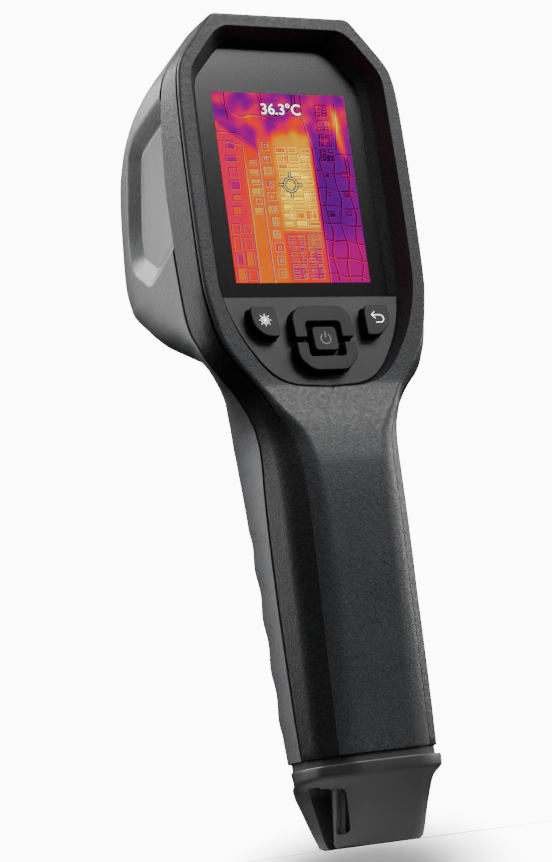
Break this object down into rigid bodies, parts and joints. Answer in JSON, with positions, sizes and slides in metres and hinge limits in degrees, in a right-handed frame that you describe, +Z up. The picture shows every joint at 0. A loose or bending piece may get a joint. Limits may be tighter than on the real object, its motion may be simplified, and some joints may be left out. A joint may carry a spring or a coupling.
{
  "type": "thermal imaging camera",
  "caption": "Pistol-grip thermal imaging camera with a sunk screen, a key pad, a round lens nose, a trigger and a tapered foot cap.",
  "frame": {"origin": "on the flat foot of the end cap, in the middle across its width, straight below the screen's plane", "axes": "+Z up along the grip and head, +Y the way the lens looks, +X to the operator's right when they look at the screen"},
  "size_m": [0.064, 0.0805, 0.2095],
  "materials": {
    "bezel_plastic": "fine spark texture, matte dark grey",
    "frame_plastic": "fine spark texture, matte dark grey",
    "housing_rubber": "soft-touch satin grey",
    "cap_plastic": "smooth satin black",
    "panel_plastic": "smooth satin dark grey",
    "key_rubber": "silicone, satin dark grey, printed icons",
    "black_rubber": "matte black",
    "window_glass": "dark tinted gloss",
    "clear_glass": "clear gloss",
    "red_glass": "deep red gloss",
    "screen": "lit colour screen with a false-colour heat picture",
    "steel": "plain bright steel",
    "brass": "turned brass",
    "black_metal": "black anodised look",
    "germanium": "coated infrared lens, dark mirror-like",
    "bright_reflector": "bright plated cup",
    "led_phosphor": "yellow phosphor",
    "circuit_board": "green solder mask",
    "battery_wrap": "blue shrink wrap"
  },
  "bodies": {
    "housing": {"rear_bezel": "bezel_plastic", "mid_frame": "frame_plastic", "front_housing": "housing_rubber", "end_cap": "cap_plastic", "end_cap_gasket": "black_rubber", "tripod_insert": "brass", "display_window": "window_glass", "window_gasket": "black_rubber", "lcd_panel": "screen", "lcd_tray": "steel", "keypad_panel": "panel_plastic", "keypad_membrane": "black_rubber", "keypad_board": "circuit_board", "key_dome_1": "steel", "key_dome_2": "steel", "key_dome_3": "steel", "key_dome_4": "steel", "key_dome_5": "steel", "main_board": "circuit_board", "board_shield": "steel", "usb_receptacle": "steel", "usb_flap_pin": "steel", "nose_barrel": "cap_plastic", "ir_lens_holder": "black_metal", "ir_lens": "germanium", "thermal_core": "black_metal", "shutter_motor": "steel", "visible_camera": "black_metal", "camera_window": "window_glass", "laser_module": "brass", "laser_window": "red_glass", "worklight_reflector": "bright_reflector", "worklight_led": "led_phosphor", "worklight_lens": "clear_glass", "trigger_pin": "steel", "trigger_spring": "steel", "trigger_switch": "panel_plastic", "battery_cell": "battery_wrap", "battery_holder": "panel_plastic", "case_screw_1": "steel", "case_screw_2": "steel", "case_screw_3": "steel", "case_screw_4": "steel"},
    "trigger_body": {"trigger": "key_rubber"},
    "light_key": {"light_button": "key_rubber"},
    "back_key": {"back_button": "key_rubber"},
    "up_key": {"up_button": "key_rubber"},
    "down_key": {"down_button": "key_rubber"},
    "power_key": {"power_button": "key_rubber"},
    "flap_body": {"usb_flap": "black_rubber"},
    "shutter_body": {"shutter_flag": "black_metal"}
  },
  "joints": [
    {"name": "trigger_hinge", "type": "hinge", "parent": "housing", "child": "trigger_body", "pos_m": [0, 0.027, 0.1105], "axis": [-1, 0, 0], "range_deg": [0, 8], "stiffness_Nm_per_rad": 0.4, "deforming": ["trigger_spring"]},
    {"name": "light_key_slide", "type": "slide", "parent": "housing", "child": "light_key", "axis": [0, 0.9923, -0.1236], "range_m": [0, 0.0008], "stiffness_N_per_m": 900},
    {"name": "back_key_slide", "type": "slide", "parent": "housing", "child": "back_key", "axis": [0, 0.9923, -0.1236], "range_m": [0, 0.0008], "stiffness_N_per_m": 900},
    {"name": "up_key_slide", "type": "slide", "parent": "housing", "child": "up_key", "axis": [0, 0.9923, -0.1236], "range_m": [0, 0.0008], "stiffness_N_per_m": 900},
    {"name": "down_key_slide", "type": "slide", "parent": "housing", "child": "down_key", "axis": [0, 0.9923, -0.1236], "range_m": [0, 0.0008], "stiffness_N_per_m": 900},
    {"name": "power_key_slide", "type": "slide", "parent": "housing", "child": "power_key", "axis": [0, 0.9923, -0.1236], "range_m": [0, 0.0008], "stiffness_N_per_m": 900},
    {"name": "flap_hinge", "type": "hinge", "parent": "housing", "child": "flap_body", "pos_m": [0, 0.00905, 0.20895], "axis": [-1, 0, 0], "range_deg": [0, 110]},
    {"name": "shutter_hinge", "type": "hinge", "parent": "housing", "child": "shutter_body", "pos_m": [0.009, 0.0488, 0.1745], "axis": [0, 1, 0], "range_deg": [0, 34], "stiffness_Nm_per_rad": 0.0005}
  ]
}
